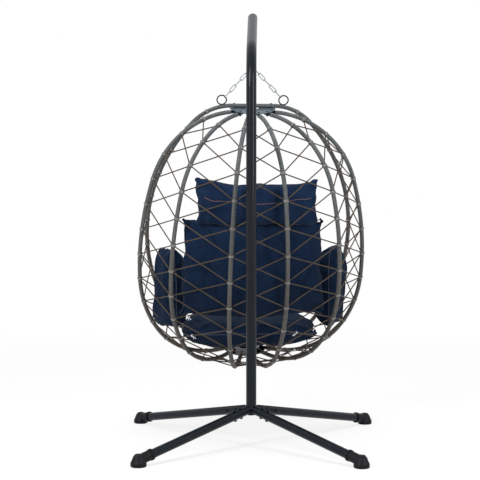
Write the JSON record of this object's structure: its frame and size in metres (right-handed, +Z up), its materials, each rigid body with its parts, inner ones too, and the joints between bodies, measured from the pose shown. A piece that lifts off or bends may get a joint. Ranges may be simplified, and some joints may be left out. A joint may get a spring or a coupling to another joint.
{
  "type": "hanging egg chair",
  "caption": "Egg-shaped rope-laced basket seat with cushions, hung by chains and a spring from a curved post on a four-legged base.",
  "frame": {"origin": "centre of the floor area that the whole chair covers, on the floor", "axes": "+Z up, +Y forward from the post towards the open side of the basket, +X to the right seen from behind the post"},
  "size_m": [1.1394, 1.3906, 1.9521],
  "materials": {
    "black_paint": "satin",
    "black_plastic": "matte",
    "zinc_plate": "satin",
    "plate_paint": "satin",
    "wicker": "matte",
    "rope": "matte",
    "navy_cloth": "matte"
  },
  "bodies": {
    "stand": {"lower_post": "black_paint", "upper_post": "black_paint", "arm_cap": "black_plastic", "hanging_eye": "black_paint", "rear_leg_left": "black_paint", "rear_leg_right": "black_paint", "front_leg_left": "black_paint", "front_leg_right": "black_paint", "rear_foot_left": "black_plastic", "rear_foot_right": "black_plastic", "front_foot_left": "black_plastic", "front_foot_right": "black_plastic", "leg_bolts": "zinc_plate"},
    "spring_hanger": {"spring_top_hook": "zinc_plate", "hanging_spring": "zinc_plate"},
    "spring_end": {"spring_end_plug": "zinc_plate"},
    "swivel": {"swivel_eye": "zinc_plate"},
    "basket": {"lower_hook": "zinc_plate", "chain_left": "zinc_plate", "chain_right": "zinc_plate", "ring_left": "black_paint", "ring_right": "black_paint", "hoop": "black_paint", "hoop_wrap": "wicker", "top_plate": "plate_paint", "bottom_plate": "plate_paint", "hoop_bolts": "zinc_plate", "top_rib_bolts": "zinc_plate", "bottom_rib_bolts": "zinc_plate", "rib_1": "black_paint", "rib_2": "black_paint", "rib_3": "black_paint", "rib_4": "black_paint", "rib_5": "black_paint", "rib_6": "black_paint", "rib_wrap_1": "wicker", "rib_wrap_2": "wicker", "rib_wrap_3": "wicker", "rib_wrap_4": "wicker", "rib_wrap_5": "wicker", "rib_wrap_6": "wicker", "net_1": "rope", "net_2": "rope", "net_3": "rope", "net_4": "rope", "net_5": "rope", "net_6": "rope", "net_7": "rope", "head_pillow": "navy_cloth", "back_cushion": "navy_cloth", "seat_cushion": "navy_cloth", "arm_bolster_left": "navy_cloth", "arm_bolster_right": "navy_cloth"}
  },
  "joints": [
    {"name": "swing", "type": "hinge", "parent": "stand", "child": "spring_hanger", "pos_m": [0, 0.246, 1.84427], "axis": [1, 0, 0], "range_deg": [-3, 15]},
    {"name": "bounce", "type": "slide", "parent": "spring_hanger", "child": "spring_end", "axis": [0, 0, -1], "range_m": [0, 0.04], "stiffness_N_per_m": 15000, "springref_m": -0.025, "deforming": ["hanging_spring"]},
    {"name": "swivel", "type": "hinge", "parent": "spring_end", "child": "swivel", "pos_m": [0, 0.246, 1.72982], "axis": [0, 0, 1], "range_deg": [-12, 12]},
    {"name": "sway", "type": "hinge", "parent": "swivel", "child": "basket", "pos_m": [0, 0.246, 1.71982], "axis": [0, 1, 0], "range_deg": [-8, 8]}
  ]
}
